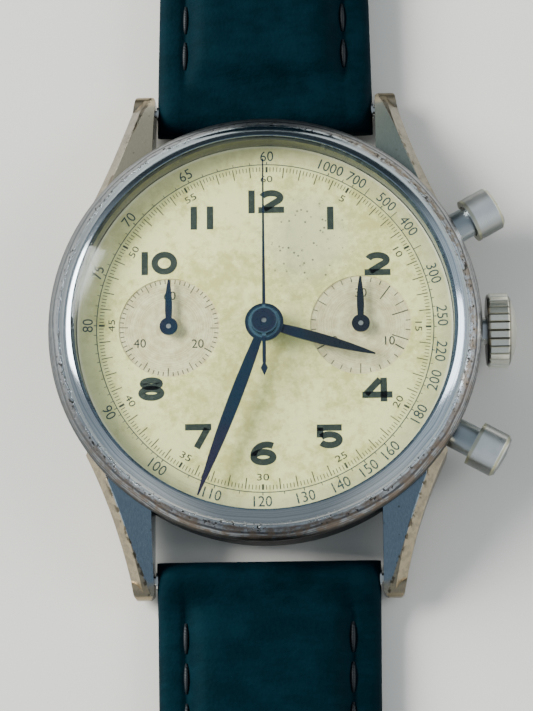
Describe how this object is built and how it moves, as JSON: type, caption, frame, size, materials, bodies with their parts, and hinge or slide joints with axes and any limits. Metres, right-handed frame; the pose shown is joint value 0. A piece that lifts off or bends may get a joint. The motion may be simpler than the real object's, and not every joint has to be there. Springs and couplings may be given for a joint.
{
  "type": "chronograph wristwatch",
  "caption": "Hand-wound chronograph wristwatch: round case with two registers, crown and pump pushers, working movement inside, leather strap with tongue buckle.",
  "frame": {"origin": "on the watch's axis, at the flat outer face of the case back", "axes": "+Z out of the dial, +Y to twelve o'clock, +X along the winding stem to the crown"},
  "size_m": [0.039, 0.2427, 0.0122],
  "materials": {
    "case_steel": "polished steel, brassy where the plating is worn",
    "back_steel": "plain steel with fine hairlines",
    "crystal": "domed clear acrylic",
    "crown_metal": "worn nickel over brass",
    "pusher_steel": "polished steel",
    "blued_steel": "heat-blued steel",
    "dial": "matt cream paint with age spots, silvered registers",
    "plate_nickel": "nickelled brass",
    "wheel_brass": "gilt brass",
    "movement_steel": "polished steel",
    "ruby": "synthetic ruby",
    "strap_leather": "matt dark leather with black stitching",
    "buckle_steel": "polished steel"
  },
  "bodies": {
    "case": {"case_middle": "case_steel", "case_back": "back_steel", "bezel": "case_steel", "crystal": "crystal", "crown_tube": "crown_metal", "pusher_tubes": "pusher_steel", "start_pusher_spring": "movement_steel", "reset_pusher_spring": "movement_steel", "spring_bars": "pusher_steel", "main_plate": "plate_nickel", "barrel_bridge": "plate_nickel", "train_bridge": "plate_nickel", "balance_cock": "plate_nickel", "pallet_cock": "plate_nickel", "bridge_screws": "blued_steel", "jewels": "ruby", "hairspring": "blued_steel", "chronograph_bridge": "plate_nickel", "dial": "dial"},
    "start_pusher": {"start_pusher": "pusher_steel"},
    "reset_pusher": {"reset_pusher": "pusher_steel"},
    "operating_lever": {"operating_lever": "movement_steel"},
    "switching_cam": {"switching_cam": "movement_steel"},
    "coupling_lever": {"coupling_lever": "movement_steel"},
    "coupling_wheel": {"coupling_wheel": "wheel_brass"},
    "reset_hammer": {"reset_hammer": "movement_steel"},
    "minute_hand": {"minute_hand": "blued_steel", "cannon_pinion": "wheel_brass"},
    "hour_hand": {"hour_hand": "blued_steel", "hour_wheel": "wheel_brass"},
    "minute_wheel": {"minute_wheel": "wheel_brass"},
    "fourth_wheel": {"fourth_wheel": "wheel_brass", "running_seconds_hand": "blued_steel", "chronograph_driving_wheel": "wheel_brass"},
    "third_wheel": {"third_wheel": "wheel_brass"},
    "centre_wheel": {"centre_wheel": "wheel_brass"},
    "barrel": {"mainspring_barrel": "wheel_brass", "mainspring": "movement_steel"},
    "escape_wheel": {"escape_wheel": "movement_steel"},
    "pallet_fork": {"pallet_fork": "movement_steel"},
    "balance": {"balance_wheel": "wheel_brass"},
    "chronograph_wheel": {"chronograph_wheel": "wheel_brass", "chronograph_hand": "blued_steel"},
    "minute_recorder": {"minute_recorder_wheel": "wheel_brass", "minute_counter_hand": "blued_steel"},
    "sliding_gear": {"sliding_gear": "wheel_brass"},
    "setting_lever": {"setting_lever": "movement_steel"},
    "crown": {"crown": "crown_metal", "winding_stem": "movement_steel"},
    "winding_pinion": {"winding_pinion": "movement_steel"},
    "crown_wheel": {"crown_wheel": "movement_steel"},
    "barrel_arbor": {"barrel_arbor": "movement_steel", "ratchet_wheel": "movement_steel"},
    "strap_buckle_side": {"strap_buckle_side": "strap_leather", "fixed_keeper": "strap_leather"},
    "strap_tail_side": {"strap_tail_side": "strap_leather"},
    "buckle": {"buckle_frame": "buckle_steel", "buckle_bar": "buckle_steel"},
    "buckle_tongue": {"buckle_tongue": "buckle_steel"},
    "sliding_keeper": {"sliding_keeper": "strap_leather"}
  },
  "joints": [
    {"name": "start_push", "type": "slide", "parent": "case", "child": "start_pusher", "axis": [-0.8746, -0.4848, 0], "range_m": [0, 0.00085], "stiffness_N_per_m": 600, "springref_m": -0.001, "deforming": ["start_pusher_spring"]},
    {"name": "reset_push", "type": "slide", "parent": "case", "child": "reset_pusher", "axis": [-0.8746, 0.4848, 0], "range_m": [0, 0.00085], "stiffness_N_per_m": 600, "springref_m": -0.001, "deforming": ["reset_pusher_spring"]},
    {"name": "operating_lever_turn", "type": "hinge", "parent": "case", "child": "operating_lever", "pos_m": [0.0096, 0.0092, 0.00235], "axis": [0, 0, 1], "range_deg": [-15, 1]},
    {"name": "switching_cam_turn", "type": "hinge", "parent": "case", "child": "switching_cam", "pos_m": [0.0056, 0.0096, 0.00205], "axis": [0, 0, 1], "range_deg": [-1, 13]},
    {"name": "coupling_lever_turn", "type": "hinge", "parent": "case", "child": "coupling_lever", "pos_m": [-0.00795, 0, 0.00235], "axis": [0, 0, 1], "range_deg": [-1.2, 0.2]},
    {"name": "reset_hammer_turn", "type": "hinge", "parent": "case", "child": "reset_hammer", "pos_m": [0.004, -0.0112, 0.00235], "axis": [0, 0, 1], "range_deg": [-0.5, 6]},
    {"name": "minute_hand_turn", "type": "hinge", "parent": "case", "child": "minute_hand", "pos_m": [0, 0, 0.008], "axis": [0, 0, -1], "continuous": true},
    {"name": "hour_hand_turn", "type": "hinge", "parent": "case", "child": "hour_hand", "pos_m": [0, 0, 0.007], "axis": [0, 0, -1], "continuous": true},
    {"name": "minute_wheel_turn", "type": "hinge", "parent": "case", "child": "minute_wheel", "pos_m": [0, 0.0026, 0.0064], "axis": [0, 0, -1], "continuous": true},
    {"name": "running_seconds_turn", "type": "hinge", "parent": "case", "child": "fourth_wheel", "pos_m": [-0.00795, 0, 0.0035], "axis": [0, 0, -1], "continuous": true},
    {"name": "third_wheel_turn", "type": "hinge", "parent": "case", "child": "third_wheel", "pos_m": [-0.00431, -0.00183, 0.0035], "axis": [0, 0, -1], "continuous": true},
    {"name": "centre_wheel_turn", "type": "hinge", "parent": "case", "child": "centre_wheel", "pos_m": [0, 0, 0.0035], "axis": [0, 0, -1], "continuous": true},
    {"name": "barrel_turn", "type": "hinge", "parent": "case", "child": "barrel", "pos_m": [0.00418, 0.00414, 0.0035], "axis": [0, 0, -1], "continuous": true},
    {"name": "escape_wheel_turn", "type": "hinge", "parent": "case", "child": "escape_wheel", "pos_m": [-0.00808, -0.00385, 0.0035], "axis": [0, 0, -1], "continuous": true},
    {"name": "coupling_wheel_turn", "type": "hinge", "parent": "coupling_lever", "child": "coupling_wheel", "pos_m": [-0.00508, 0.00131, 0.00205], "axis": [0, 0, -1], "continuous": true},
    {"name": "pallet_fork_swing", "type": "hinge", "parent": "case", "child": "pallet_fork", "pos_m": [-0.00645, -0.00548, 0.0035], "axis": [0, 0, 1], "range_deg": [-5, 5]},
    {"name": "balance_swing", "type": "hinge", "parent": "case", "child": "balance", "pos_m": [-0.00426, -0.00767, 0.0035], "axis": [0, 0, 1], "range_deg": [-135, 135], "stiffness_Nm_per_rad": 0.0000001},
    {"name": "chronograph_turn", "type": "hinge", "parent": "case", "child": "chronograph_wheel", "pos_m": [0, 0, 0.0035], "axis": [0, 0, -1], "continuous": true},
    {"name": "minute_recorder_turn", "type": "hinge", "parent": "case", "child": "minute_recorder", "pos_m": [0.00795, 0, 0.0035], "axis": [0, 0, -1], "continuous": true},
    {"name": "sliding_gear_turn", "type": "hinge", "parent": "case", "child": "sliding_gear", "pos_m": [0.00489, -0.00076, 0.00205], "axis": [0, 0, -1], "continuous": true},
    {"name": "crown_pull", "type": "slide", "parent": "case", "child": "setting_lever", "axis": [1, 0, 0], "range_m": [0, 0.001]},
    {"name": "crown_wind", "type": "hinge", "parent": "setting_lever", "child": "crown", "pos_m": [0.01845, 0, 0.00425], "axis": [1, 0, 0], "continuous": true},
    {"name": "winding_pinion_turn", "type": "hinge", "parent": "case", "child": "winding_pinion", "pos_m": [0.01019, 0, 0.00425], "axis": [1, 0, 0], "continuous": true},
    {"name": "crown_wheel_turn", "type": "hinge", "parent": "case", "child": "crown_wheel", "pos_m": [0.00795, 0, 0.0027], "axis": [0, 0, 1], "continuous": true},
    {"name": "ratchet_turn", "type": "hinge", "parent": "case", "child": "barrel_arbor", "pos_m": [0.00418, 0.00414, 0.0027], "axis": [0, 0, 1], "continuous": true},
    {"name": "strap_buckle_side_fold", "type": "hinge", "parent": "case", "child": "strap_buckle_side", "pos_m": [0, 0.02035, 0.002], "axis": [-1, 0, 0], "range_deg": [-30, 95]},
    {"name": "strap_tail_side_fold", "type": "hinge", "parent": "case", "child": "strap_tail_side", "pos_m": [0, -0.02035, 0.002], "axis": [1, 0, 0], "range_deg": [-30, 95]},
    {"name": "buckle_fold", "type": "hinge", "parent": "strap_buckle_side", "child": "buckle", "pos_m": [0, 0.09535, 0.0021], "axis": [-1, 0, 0], "range_deg": [-85, 85]},
    {"name": "tongue_fold", "type": "hinge", "parent": "buckle", "child": "buckle_tongue", "pos_m": [0, 0.09535, 0.0021], "axis": [1, 0, 0], "range_deg": [0, 100]},
    {"name": "keeper_slide", "type": "slide", "parent": "strap_buckle_side", "child": "sliding_keeper", "axis": [0, -1, 0], "range_m": [-0.006, 0.012]}
  ],
  "couplings": [
    {"joint": "operating_lever_turn", "follows": "start_push", "rad_per_m": -280},
    {"joint": "switching_cam_turn", "follows": "start_push", "rad_per_m": 245},
    {"joint": "coupling_lever_turn", "follows": "start_push", "rad_per_m": -20},
    {"joint": "reset_hammer_turn", "follows": "reset_push", "rad_per_m": 105},
    {"joint": "hour_hand_turn", "follows": "minute_hand_turn", "ratio": 0.083333},
    {"joint": "minute_wheel_turn", "follows": "minute_hand_turn", "ratio": -0.33333},
    {"joint": "third_wheel_turn", "follows": "running_seconds_turn", "ratio": -0.13333},
    {"joint": "centre_wheel_turn", "follows": "running_seconds_turn", "ratio": 0.016667},
    {"joint": "barrel_turn", "follows": "running_seconds_turn", "ratio": -0.0027778},
    {"joint": "escape_wheel_turn", "follows": "running_seconds_turn", "ratio": -10},
    {"joint": "coupling_wheel_turn", "follows": "running_seconds_turn", "ratio": -1.3333},
    {"joint": "minute_recorder_turn", "follows": "chronograph_turn", "ratio": 0.033333},
    {"joint": "sliding_gear_turn", "follows": "chronograph_turn", "ratio": -0.083333},
    {"joint": "winding_pinion_turn", "follows": "crown_wind", "ratio": 1},
    {"joint": "crown_wheel_turn", "follows": "crown_wind", "ratio": 0.53571},
    {"joint": "ratchet_turn", "follows": "crown_wind", "ratio": -0.35714}
  ]
}
